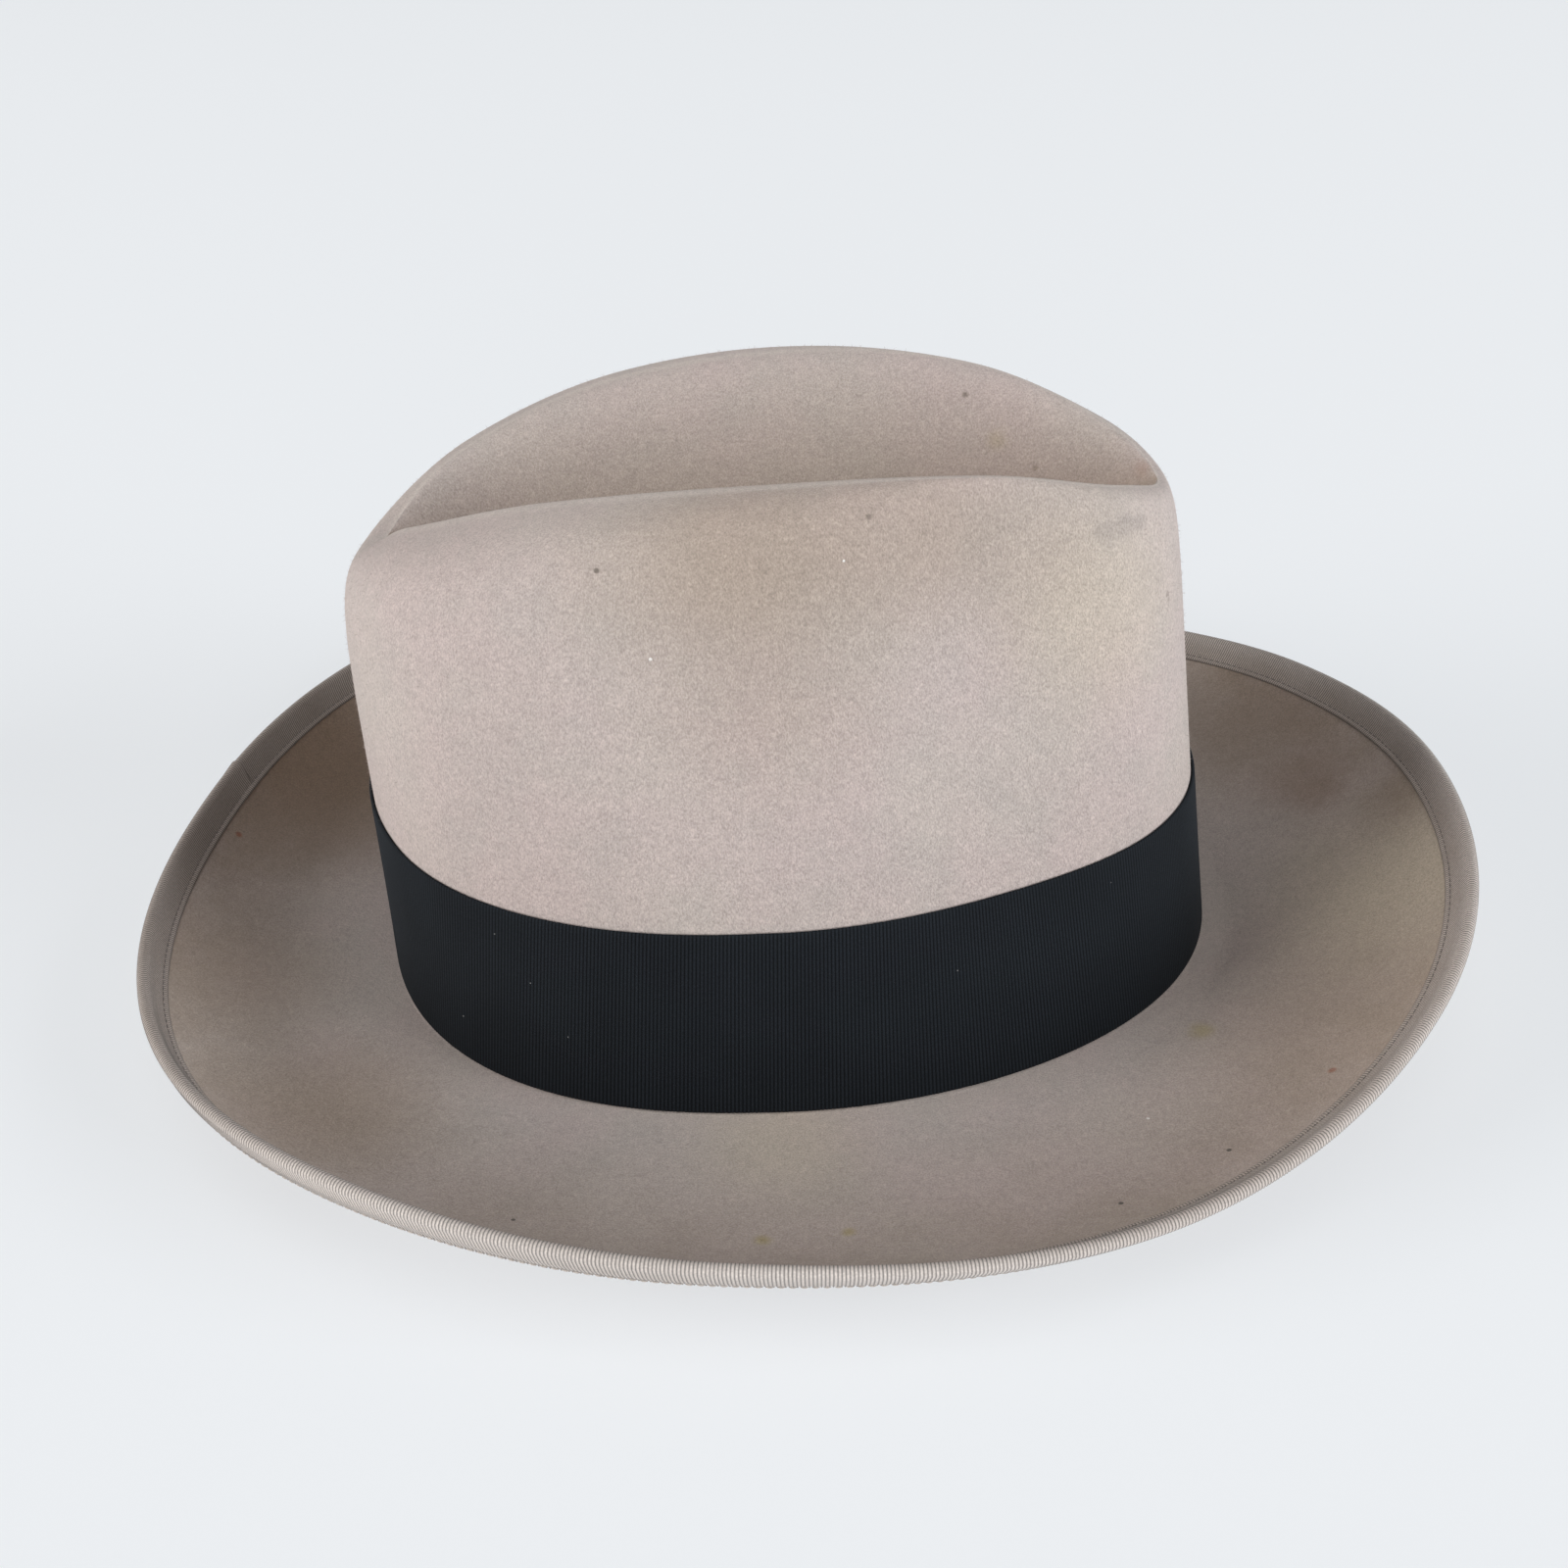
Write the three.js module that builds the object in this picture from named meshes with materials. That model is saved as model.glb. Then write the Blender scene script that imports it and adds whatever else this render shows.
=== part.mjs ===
// A felt fedora with a lengthwise crease in the crown, a wide ribbed ribbon band and a curled brim
// bound with a folded ribbon. Millimetres. +X is the wearer's front, +Y the wearer's left, +Z up.
// The hat stands on its break, where crown and brim meet, and the origin is on that surface under
// the middle of the hat.

import * as THREE from 'three';

// Head oval: the outside of the felt at the break.
const headLength = 202.5;
const headWidth = 169;
const headRoundness = 2.19;
const headEgg = 0.147;

// Felt body.
const feltThickness = 2;
const crownHeight = 126.5;
const creaseDepth = 38;
const creaseRoundness = 1.25;
const ridgeInsetFront = 21.4;
const ridgeInsetBack = 7.1;
const ridgeInsetSide = 42.4;
const ridgeEgg = 0.07;
const ridgePoint = 1.02;
const brimWidth = 67;
const brimCurl = 3.36;
const restWidth = 5;
const breakTurn = 1.2;

// Shape of the wall between the band and the ridge: how far up the wall stays straight, and how
// long the roll at the shoulder is.
const wallStraight = 0.9;
const shoulderRoll = 1.17;

// Ribbons.
const ribbonThickness = 1;
const ribbonGap = 0.3;
const bandWidth = 42.5;
const bindingWidth = 7.8;

// Sections of the hat every 30 degrees round the head, from the front at 0 to the back at 180, the
// same on both sides. ridge is a share of crownHeight, crease of creaseDepth, brim of brimWidth.
// lean is the wall's angle from upright, rise the brim's angle beside the rest ring and curl its
// angle at the edge, in degrees.
const sections = [
  { angle: 0, ridge: 0.886, crease: 0, lean: 9.2, brim: 1.019, rise: 22, curl: 75.3 },
  { angle: 30, ridge: 0.933, crease: 0.42, lean: 11.4, brim: 0.997, rise: 16.5, curl: 63.5 },
  { angle: 60, ridge: 0.996, crease: 0.9, lean: 16.9, brim: 0.976, rise: 5, curl: 57.5 },
  { angle: 90, ridge: 1, crease: 1, lean: 12.9, brim: 0.99, rise: 6, curl: 73 },
  { angle: 120, ridge: 0.951, crease: 0.95, lean: 10.8, brim: 0.972, rise: 7, curl: 86 },
  { angle: 150, ridge: 0.852, crease: 0.7, lean: 3.9, brim: 0.956, rise: 2.3, curl: 84.7 },
  { angle: 180, ridge: 0.763, crease: 0, lean: -2.3, brim: 0.903, rise: 3.6, curl: 82.8 },
];

// Soft hollows pressed in each side of the crown. angle is the hollow's middle round the head and
// spread its half-width, in degrees. up, tall and depth are shares of crownHeight. They fade out
// over the last part of the wall's curve, so that the ridge keeps its line.
const hollows = [
  { angle: 92, spread: 26, up: 0.72, tall: 0.24, depth: 0.032 },
];
const hollowFade = 0.33;

// Fineness of the faceted surfaces, of the sums along the brim and of the search up the wall.
const columns = 60;
const bandRows = 3;
const wallRows = 8;
const creaseRows = 10;
const brimRows = 8;
const bindingRows = 2;
const brimSteps = 40;
const searchSteps = 40;
const normalStep = 0.01;

const up = new THREE.Vector3(0, 0, 1);

function wrapAngle(theta) {
  return Math.atan2(Math.sin(theta), Math.cos(theta));
}

// A column of the sections table at any angle, as a smooth curve through its rows.
function sectionValue(column, theta) {
  const spacing = THREE.MathUtils.degToRad(sections[1].angle - sections[0].angle);
  const place = Math.abs(wrapAngle(theta)) / spacing;
  const last = sections.length - 1;
  const below = Math.min(Math.floor(place), last - 1);
  const row = (index) => sections[last - Math.abs(last - Math.abs(index))][column];
  return catmullRom(row(below - 1), row(below), row(below + 1), row(below + 2), place - below);
}

function catmullRom(before, start, end, after, share) {
  const startSlope = (end - before) / 2;
  const endSlope = (after - start) / 2;
  const rise = end - start;
  const square = (3 * rise - 2 * startSlope - endSlope) * share ** 2;
  const cube = (startSlope + endSlope - 2 * rise) * share ** 3;
  return start + startSlope * share + square + cube;
}

function signedPower(value, exponent) {
  return Math.sign(value) * Math.abs(value) ** exponent;
}

function smoothStep(share) {
  const held = THREE.MathUtils.clamp(share, 0, 1);
  return held * held * (3 - 2 * held);
}

// The head oval's point at an angle, on the level of the brim's upper face at the break.
function headPoint(theta) {
  const power = 2 / headRoundness;
  const across = 1 - headEgg * Math.cos(theta);
  const x = (headLength / 2) * signedPower(Math.cos(theta), power);
  const y = (headWidth / 2) * signedPower(Math.sin(theta), power) * across;
  return new THREE.Vector3(x, y, feltThickness);
}

// The level direction that points out of the hat at an angle.
function outward(theta) {
  return new THREE.Vector3(Math.cos(theta) / headLength, Math.sin(theta) / headWidth, 0).normalize();
}

function wallLean(theta) {
  return THREE.MathUtils.degToRad(sectionValue('lean', theta));
}

function ridgeHeight(theta) {
  return crownHeight * sectionValue('ridge', theta);
}

// The ridge that runs round the crease, as a point of the upper surface at an angle.
function ridgePlace(theta) {
  const inset = Math.cos(theta) > 0 ? ridgeInsetFront : ridgeInsetBack;
  const across = headWidth / 2 - ridgeInsetSide;
  const x = (headLength / 2 - inset) * Math.cos(theta);
  const y = across * signedPower(Math.sin(theta), ridgePoint) * (1 - ridgeEgg * Math.cos(theta));
  return new THREE.Vector3(x, y, feltThickness + ridgeHeight(theta));
}

// How far the hollows press the wall in at an angle and a height above the break.
function hollowDepth(theta, height) {
  let depth = 0;
  for (const hollow of hollows) {
    const round = THREE.MathUtils.radToDeg(Math.abs(wrapAngle(theta))) - hollow.angle;
    const rise = height / crownHeight - hollow.up;
    const falloff = (round / hollow.spread) ** 2 + (rise / hollow.tall) ** 2;
    depth += hollow.depth * crownHeight * Math.exp(-falloff);
  }
  return depth;
}

// The crown's wall as a Bezier curve from the break (share 0) to the ridge (share 1).
function wallPoint(theta, share) {
  const foot = headPoint(theta);
  const top = ridgePlace(theta);
  const straight = wallStraight * ridgeHeight(theta);
  const leanIn = straight * Math.tan(wallLean(theta));
  const upper = foot.clone().addScaledVector(outward(theta), -leanIn);
  const shoulder = new THREE.Vector3(upper.x, upper.y, top.z);
  shoulder.lerpVectors(top, shoulder, shoulderRoll);
  upper.z += straight;
  const point = new THREE.CubicBezierCurve3(foot, upper, shoulder, top).getPoint(share);
  const fade = smoothStep((1 - share) / hollowFade);
  const depth = hollowDepth(theta, point.z - feltThickness) * fade;
  return point.addScaledVector(outward(theta), -depth);
}

// The share of the wall's curve at a distance up the straight, leaning part of the wall.
function wallShareAt(theta, distance) {
  const height = distance * Math.cos(wallLean(theta));
  let low = 0;
  let high = 1;
  for (let step = 0; step < searchSteps; step += 1) {
    const middle = (low + high) / 2;
    if (wallPoint(theta, middle).z - feltThickness < height) {
      low = middle;
    } else {
      high = middle;
    }
  }
  return low;
}

// A point in the top between the two ridges. side runs from 1 at this angle's ridge to -1 at the
// opposite one.
function creasePoint(theta, side) {
  const ridge = ridgePlace(theta);
  const climb = Math.sin((Math.PI / 2) * Math.abs(side) ** creaseRoundness) ** 2;
  const depth = creaseDepth * sectionValue('crease', theta);
  return new THREE.Vector3(ridge.x, ridge.y * side, ridge.z - depth * (1 - climb));
}

function brimReach(theta) {
  return brimWidth * sectionValue('brim', theta);
}

// The brim's slope in radians at a distance out along its upper face. It is level over the rest
// ring.
function brimSlope(theta, distance) {
  const rise = sectionValue('rise', theta) * smoothStep((distance - restWidth) / restWidth);
  const bend = sectionValue('curl', theta) - sectionValue('rise', theta);
  const beyond = Math.max(0, distance - restWidth) / (brimReach(theta) - restWidth);
  return THREE.MathUtils.degToRad(rise + bend * beyond ** brimCurl);
}

// A point on the brim, a distance out along its upper face and a lift square to that face.
function brimPoint(theta, distance, lift) {
  let out = 0;
  let rise = 0;
  const step = distance / brimSteps;
  for (let index = 0; index < brimSteps; index += 1) {
    const slope = brimSlope(theta, (index + 0.5) * step);
    out += Math.cos(slope) * step;
    rise += Math.sin(slope) * step;
  }
  const slope = brimSlope(theta, distance);
  out -= Math.sin(slope) * lift;
  rise += Math.cos(slope) * lift;
  return headPoint(theta).addScaledVector(outward(theta), out).addScaledVector(up, rise);
}

function columnAngle(column) {
  return (2 * Math.PI * column) / columns;
}

function eachColumn(makePoint) {
  return Array.from({ length: columns }, (unused, column) => makePoint(columnAngle(column)));
}

function shares(count) {
  return Array.from({ length: count + 1 }, (unused, index) => index / count);
}

// Rows of the wall from the break to the ridge. The lower ones lie behind the band's own rows.
function wallRowShare(theta, row) {
  const bandFoot = wallShareAt(theta, ribbonGap);
  const bandTop = wallShareAt(theta, ribbonGap + bandWidth);
  if (row === 0) {
    return 0;
  }
  if (row <= bandRows + 1) {
    return bandFoot + ((bandTop - bandFoot) * (row - 1)) / bandRows;
  }
  return bandTop + ((1 - bandTop) * (row - 1 - bandRows)) / wallRows;
}

const wallRowCount = 1 + bandRows + wallRows;

// Distances of the brim's rows from the break. The last ones lie under the binding's own rows.
function brimRowDistances(theta) {
  const reach = brimReach(theta);
  const bindingFoot = reach - bindingWidth;
  const open = shares(brimRows).map((share) => restWidth + (bindingFoot - restWidth) * share);
  const bound = shares(bindingRows).slice(1).map((share) => bindingFoot + bindingWidth * share);
  return [...open, ...bound];
}

// Normals of a grid of rows by columns that closes on itself along each row.
function gridNormal(rows, row, column) {
  const above = rows[Math.min(row + 1, rows.length - 1)];
  const below = rows[Math.max(row - 1, 0)];
  const count = rows[row].length;
  const along = new THREE.Vector3().subVectors(above[column], below[column]);
  const after = rows[row][(column + 1) % count];
  const before = rows[row][(column + count - 1) % count];
  const round = new THREE.Vector3().subVectors(after, before);
  return round.cross(along).normalize();
}

const outerWall = Array.from({ length: wallRowCount + 1 }, (unused, row) =>
  eachColumn((theta) => wallPoint(theta, wallRowShare(theta, row))));

function offsetWall(row, lift) {
  return outerWall[row].map((point, column) =>
    point.clone().addScaledVector(gridNormal(outerWall, row, column), lift));
}

// A closed body from points and triangles, turned so that its faces point out.
function closedGeometry(points, triangles) {
  const volume = triangles.reduce((sum, [a, b, c]) =>
    sum + points[a].dot(new THREE.Vector3().crossVectors(points[b], points[c])), 0);
  const index = volume > 0 ? triangles : triangles.map(([a, b, c]) => [a, c, b]);
  const geometry = new THREE.BufferGeometry();
  geometry.setFromPoints(points);
  geometry.setIndex(index.flat());
  geometry.computeVertexNormals();
  return geometry;
}

// Triangles between two rows of the same columns. Rows hold the first index of their points.
function joinRows(triangles, rowStart, nextStart) {
  for (let column = 0; column < columns; column += 1) {
    const next = (column + 1) % columns;
    triangles.push([rowStart + column, rowStart + next, nextStart + next]);
    triangles.push([rowStart + column, nextStart + next, nextStart + column]);
  }
}

// A ring whose cross-section is a closed loop of rows.
function ringGeometry(loop) {
  const triangles = [];
  loop.forEach((row, index) => {
    joinRows(triangles, index * columns, ((index + 1) % loop.length) * columns);
  });
  return closedGeometry(loop.flat(), triangles);
}

// The top between the ridges: one crosswise line of points for each pair of columns that face
// each other across the crease. Its ends are the ridge's own points.
function creaseLines(makePoint) {
  return Array.from({ length: columns / 2 - 1 }, (unused, line) =>
    shares(creaseRows).slice(1, -1).map((share) => makePoint(columnAngle(line + 1), 1 - 2 * share)));
}

function joinCrease(triangles, ridgeStart, lineStart, reversed) {
  const inner = creaseRows - 1;
  const lineCount = columns / 2 - 1;
  const pointAt = (line, place) => {
    if (line < 0) {
      return ridgeStart;
    }
    if (line >= lineCount) {
      return ridgeStart + columns / 2;
    }
    if (place === 0) {
      return ridgeStart + line + 1;
    }
    if (place === creaseRows) {
      return ridgeStart + columns - line - 1;
    }
    return lineStart + line * inner + place - 1;
  };
  for (let line = -1; line < lineCount; line += 1) {
    for (let place = 0; place < creaseRows; place += 1) {
      const corners = [
        pointAt(line, place),
        pointAt(line, place + 1),
        pointAt(line + 1, place + 1),
        pointAt(line + 1, place),
      ];
      const ordered = reversed ? corners.reverse() : corners;
      const [first, second, third, fourth] = ordered;
      if (first !== second && second !== third && first !== third) {
        triangles.push([first, second, third]);
      }
      if (first !== third && third !== fourth && first !== fourth) {
        triangles.push([first, third, fourth]);
      }
    }
  }
}

// The inner face of the top lies one felt thickness under the outer one.
function innerCreasePoint(theta, side) {
  const ahead = creasePoint(theta - normalStep, side);
  const behind = creasePoint(theta + normalStep, side);
  const left = creasePoint(theta, Math.min(side + normalStep, 1));
  const right = creasePoint(theta, Math.max(side - normalStep, -1));
  const along = new THREE.Vector3().subVectors(ahead, behind);
  const across = new THREE.Vector3().subVectors(left, right);
  const normal = along.cross(across).normalize();
  return creasePoint(theta, side).addScaledVector(normal, -feltThickness);
}

// Crown and brim are one felt wall: from the brim's edge up the outside to the top, and back down
// the inside to the same edge.
function feltGeometry() {
  const points = [];
  const triangles = [];
  const addRow = (row) => {
    const start = points.length;
    points.push(...row);
    return start;
  };
  const rowDistance = (theta, row) => brimRowDistances(theta)[row];
  const brimRowCount = brimRows + 1 + bindingRows;
  const upperBrim = [];
  const lowerBrim = [];
  for (let row = brimRowCount - 1; row >= 0; row -= 1) {
    upperBrim.push(addRow(eachColumn((theta) => brimPoint(theta, rowDistance(theta, row), 0))));
  }
  const outside = outerWall.map((row) => addRow(row));
  const outerLines = addRow(creaseLines(creasePoint).flat());
  const lastWall = outerWall.length - 1;
  const inside = outerWall.slice(0, lastWall).map((row, index) =>
    addRow(offsetWall(index, -feltThickness)));
  const innerRidge = addRow(eachColumn((theta) =>
    ridgePlace(theta).addScaledVector(up, -feltThickness)));
  const innerLines = addRow(creaseLines(innerCreasePoint).flat());
  const turn = breakTurn - feltThickness;
  const turnRow = addRow(eachColumn((theta) =>
    headPoint(theta).addScaledVector(outward(theta), turn).setZ(0)));
  for (let row = 0; row < brimRowCount; row += 1) {
    const makePoint = (theta) => brimPoint(theta, rowDistance(theta, row), -feltThickness);
    lowerBrim.push(addRow(eachColumn(makePoint)));
  }

  const path = [...upperBrim, ...outside];
  path.slice(1).forEach((start, index) => joinRows(triangles, path[index], start));
  joinCrease(triangles, outside[lastWall], outerLines, true);
  const back = [innerRidge, ...inside.reverse(), turnRow, ...lowerBrim, upperBrim[0]];
  back.slice(1).forEach((start, index) => joinRows(triangles, back[index], start));
  joinCrease(triangles, innerRidge, innerLines, false);
  return closedGeometry(points, triangles);
}

// The band lies on the wall's rows behind it, one gap clear.
function bandGeometry() {
  const rows = Array.from({ length: bandRows + 1 }, (unused, index) => index + 1);
  const inner = rows.map((row) => offsetWall(row, ribbonGap));
  const outer = rows.map((row) => offsetWall(row, ribbonGap + ribbonThickness));
  return ringGeometry([...outer, ...inner.reverse()]);
}

// The binding is folded round the felt's edge, one gap clear of both faces and of the edge.
function bindingGeometry() {
  const stations = shares(bindingRows).map((share) => bindingWidth * (share - 1));
  const overEdge = (theta, stretch, lift) => {
    const reach = brimReach(theta);
    const slope = brimSlope(theta, reach);
    const point = brimPoint(theta, reach, lift);
    point.addScaledVector(outward(theta), Math.cos(slope) * stretch);
    return point.addScaledVector(up, Math.sin(slope) * stretch);
  };
  const layer = (lift, stretch, corner) => {
    const under = -feltThickness - lift;
    const onTop = stations.map((station) =>
      eachColumn((theta) => brimPoint(theta, brimReach(theta) + station, lift)));
    const below = stations.map((station) =>
      eachColumn((theta) => brimPoint(theta, brimReach(theta) + station, under)));
    const upperCorner = eachColumn((theta) => overEdge(theta, stretch, lift - corner));
    const lowerCorner = eachColumn((theta) => overEdge(theta, stretch, under + corner));
    return [...onTop, upperCorner, lowerCorner, ...below.reverse()];
  };
  const outer = layer(ribbonGap + ribbonThickness, ribbonGap + ribbonThickness, ribbonThickness);
  const inner = layer(ribbonGap, ribbonGap, 0);
  return ringGeometry([...outer, ...inner.reverse()]);
}

const feltMaterial = new THREE.MeshStandardMaterial({ color: 0xb5a79d, roughness: 0.95 });
const bandMaterial = new THREE.MeshStandardMaterial({ color: 0x15181b, roughness: 0.7 });
const bindingMaterial = new THREE.MeshStandardMaterial({ color: 0xa89e96, roughness: 0.8 });

function namedMesh(name, geometry, material) {
  const mesh = new THREE.Mesh(geometry, material);
  mesh.name = name;
  return mesh;
}

// The hat is moved level so that the middle of its outline lies over the origin.
function assembleHat() {
  const hat = new THREE.Group();
  hat.add(namedMesh('felt_body', feltGeometry(), feltMaterial));
  hat.add(namedMesh('hat_band', bandGeometry(), bandMaterial));
  hat.add(namedMesh('brim_binding', bindingGeometry(), bindingMaterial));
  const middle = new THREE.Box3().setFromObject(hat).getCenter(new THREE.Vector3());
  hat.position.set(-middle.x, -middle.y, 0);
  hat.updateMatrixWorld(true);
  return hat;
}

const fedora = assembleHat();

export default fedora;
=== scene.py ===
import math

import bpy
import numpy as np
from mathutils import Matrix, Vector


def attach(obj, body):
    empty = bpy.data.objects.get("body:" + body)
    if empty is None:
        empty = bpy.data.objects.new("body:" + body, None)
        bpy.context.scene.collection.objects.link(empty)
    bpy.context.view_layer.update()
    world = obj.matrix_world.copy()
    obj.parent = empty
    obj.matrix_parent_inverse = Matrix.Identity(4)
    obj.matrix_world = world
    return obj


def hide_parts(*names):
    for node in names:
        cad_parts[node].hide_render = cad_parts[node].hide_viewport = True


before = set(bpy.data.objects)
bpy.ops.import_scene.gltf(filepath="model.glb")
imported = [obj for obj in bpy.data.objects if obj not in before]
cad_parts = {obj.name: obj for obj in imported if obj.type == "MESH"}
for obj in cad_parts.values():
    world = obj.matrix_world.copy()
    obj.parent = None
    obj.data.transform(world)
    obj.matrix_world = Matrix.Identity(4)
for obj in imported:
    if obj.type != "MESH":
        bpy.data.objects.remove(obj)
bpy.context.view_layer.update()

# Camera
# It looks down on the wearer's right side from close by, from the place and at the angle from
# which the photograph was taken.
camera_target = Vector((-0.0050, 0.0, 0.0320))
camera_distance = 0.4043
camera_azimuth = math.radians(4.86)
camera_elevation = math.radians(32.76)
camera_roll = math.radians(-1.28)


def direction_to(azimuth, elevation):
    """A direction by its azimuth from the front of the picture and its elevation."""
    level = math.cos(elevation)
    return Vector((math.sin(azimuth) * level, -math.cos(azimuth) * level, math.sin(elevation)))


across = Vector((math.cos(camera_azimuth), math.sin(camera_azimuth), 0))
back = direction_to(camera_azimuth, camera_elevation)
above = back.cross(across)
rolled_across = across * math.cos(camera_roll) + above * math.sin(camera_roll)
rolled_above = above * math.cos(camera_roll) - across * math.sin(camera_roll)
camera = bpy.data.objects.new("photo_camera", bpy.data.cameras.new("photo_camera"))
camera.data.lens = 37.12
camera.data.sensor_width = 36
camera.data.clip_start = 0.01
camera.matrix_world = Matrix.Translation(camera_target + back * camera_distance) @ Matrix(
    (rolled_across, rolled_above, back)).transposed().to_4x4()
bpy.context.scene.collection.objects.link(camera)
bpy.context.scene.camera = camera

# Felt body
# Crown and brim are one piece of fur felt two millimetres thick, steamed and pressed over a block:
# open underneath for the head, creased lengthwise in the top, pressed in softly at both sides and
# curled up all round the brim. It stands on the level ring of felt under the break.
head_length = 0.2025
head_width = 0.169
head_roundness = 2.19
head_egg = 0.147
felt_thickness = 0.002
crown_height = 0.1265
crease_depth = 0.038
crease_roundness = 1.25
ridge_inset_front = 0.0214
ridge_inset_back = 0.0071
ridge_inset_side = 0.0424
ridge_egg = 0.07
ridge_point = 1.02
brim_width = 0.067
brim_curl = 3.36
rest_width = 0.005
wall_straight = 0.9
shoulder_roll = 1.17
hollow_fade = 0.33

# Sections every 30 degrees round the head from the front to the back, the same on both sides:
# ridge as a share of the crown's height, crease of its depth and brim of its width, and the
# angles of the wall, of the brim beside the rest ring and of its edge.
hat_sections = [
    dict(angle=0, ridge=0.886, crease=0, lean=9.2, brim=1.019, rise=22, curl=75.3),
    dict(angle=30, ridge=0.933, crease=0.42, lean=11.4, brim=0.997, rise=16.5, curl=63.5),
    dict(angle=60, ridge=0.996, crease=0.9, lean=16.9, brim=0.976, rise=5, curl=57.5),
    dict(angle=90, ridge=1, crease=1, lean=12.9, brim=0.99, rise=6, curl=73),
    dict(angle=120, ridge=0.951, crease=0.95, lean=10.8, brim=0.972, rise=7, curl=86),
    dict(angle=150, ridge=0.852, crease=0.7, lean=3.9, brim=0.956, rise=2.3, curl=84.7),
    dict(angle=180, ridge=0.763, crease=0, lean=-2.3, brim=0.903, rise=3.6, curl=82.8),
]

# Soft hollows in both sides of the crown: middle and half-width round the head in degrees, height,
# half-height and depth as shares of the crown's height.
side_hollows = [
    dict(angle=92, spread=26, up=0.72, tall=0.24, depth=0.032),
]


def section_value(column, theta):
    """A column of the sections as a smooth curve through its rows."""
    values = np.array([row[column] for row in hat_sections])
    spacing = math.radians(hat_sections[1]["angle"])
    last = len(values) - 1
    place = np.abs(np.arctan2(np.sin(theta), np.cos(theta))) / spacing
    below = np.minimum(place.astype(int), last - 1)
    share = place - below
    before, start, end, after = (
        values[last - np.abs(last - np.abs(below + step))] for step in (-1, 0, 1, 2)
    )
    start_slope = (end - before) / 2
    end_slope = (after - start) / 2
    rise = end - start
    square = (3 * rise - 2 * start_slope - end_slope) * share ** 2
    cube = (start_slope + end_slope - 2 * rise) * share ** 3
    return start + start_slope * share + square + cube


def signed_power(value, exponent):
    return np.sign(value) * np.abs(value) ** exponent


def smooth_step(share):
    held = np.clip(share, 0, 1)
    return held * held * (3 - 2 * held)


def points(x, y, z):
    return np.stack(np.broadcast_arrays(x, y, z), -1)


def head_point(theta):
    """The head oval on the brim's upper face at the break, before the hat is centred."""
    power = 2 / head_roundness
    egg = 1 - head_egg * np.cos(theta)
    x = head_length / 2 * signed_power(np.cos(theta), power)
    y = head_width / 2 * signed_power(np.sin(theta), power) * egg
    return points(x - hat_shift, y, felt_thickness)


def outward(theta):
    x = np.cos(theta) / head_length
    y = np.sin(theta) / head_width
    length = np.hypot(x, y)
    return points(x / length, y / length, 0.0)


def ridge_place(theta):
    """The ridge that runs round the crease."""
    inset = np.where(np.cos(theta) > 0, ridge_inset_front, ridge_inset_back)
    spread = head_width / 2 - ridge_inset_side
    x = (head_length / 2 - inset) * np.cos(theta)
    y = spread * signed_power(np.sin(theta), ridge_point) * (1 - ridge_egg * np.cos(theta))
    z = felt_thickness + crown_height * section_value("ridge", theta)
    return points(x - hat_shift, y, z)


def hollow_depth(theta, height):
    depth = 0
    for hollow in side_hollows:
        turn = np.degrees(np.abs(np.arctan2(np.sin(theta), np.cos(theta)))) - hollow["angle"]
        rise = height / crown_height - hollow["up"]
        falloff = (turn / hollow["spread"]) ** 2 + (rise / hollow["tall"]) ** 2
        depth = depth + hollow["depth"] * crown_height * np.exp(-falloff)
    return depth


def wall_point(theta, share):
    """The crown's wall from the break (share 0) up to the ridge (share 1)."""
    foot = head_point(theta)
    top = ridge_place(theta)
    out = outward(theta)
    straight = wall_straight * crown_height * section_value("ridge", theta)
    lean_in = straight * np.tan(np.radians(section_value("lean", theta)))
    upper = foot - out * lean_in[..., None]
    shoulder = points(upper[..., 0], upper[..., 1], top[..., 2])
    shoulder = top + (shoulder - top) * shoulder_roll
    upper = upper + points(0.0, 0.0, straight)
    t = share[..., None]
    curve = (1 - t) ** 3 * foot + 3 * (1 - t) ** 2 * t * upper
    curve = curve + 3 * (1 - t) * t ** 2 * shoulder + t ** 3 * top
    fade = smooth_step((1 - share) / hollow_fade)
    depth = hollow_depth(theta, curve[..., 2] - felt_thickness) * fade
    return curve - out * depth[..., None]


def wall_share_at(theta, distance):
    """The share of the wall's curve at a distance up its straight, leaning part."""
    height = distance * np.cos(np.radians(section_value("lean", theta))) + felt_thickness
    low = np.zeros_like(height)
    high = np.ones_like(height)
    halvings = 24
    for _ in range(halvings):
        middle = (low + high) / 2
        under = wall_point(theta, middle)[..., 2] < height
        low = np.where(under, middle, low)
        high = np.where(under, high, middle)
    return low


def unit(vectors):
    return vectors / np.linalg.norm(vectors, axis=-1, keepdims=True)


def face_normal(surface, theta, along):
    """The outward normal of the wall or of the top at points given by an angle and a share."""
    step = 0.002
    turn = surface(theta + step, along) - surface(theta - step, along)
    climb = surface(theta, along + step) - surface(theta, along - step)
    return unit(np.cross(turn, climb))


def crease_point(theta, side):
    """The top between the ridges, from this angle's ridge (side 1) to the opposite one (-1)."""
    ridge = ridge_place(theta)
    climb = np.sin(math.pi / 2 * np.abs(side) ** crease_roundness) ** 2
    depth = crease_depth * section_value("crease", theta)
    return points(ridge[..., 0], ridge[..., 1] * side, ridge[..., 2] - depth * (1 - climb))


def brim_reach(theta):
    return brim_width * section_value("brim", theta)


def brim_slope(theta, distance):
    rise = section_value("rise", theta) * smooth_step((distance - rest_width) / rest_width)
    bend = section_value("curl", theta) - section_value("rise", theta)
    beyond = np.maximum(0, distance - rest_width) / (brim_reach(theta) - rest_width)
    return np.radians(rise + bend * beyond ** brim_curl)


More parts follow.
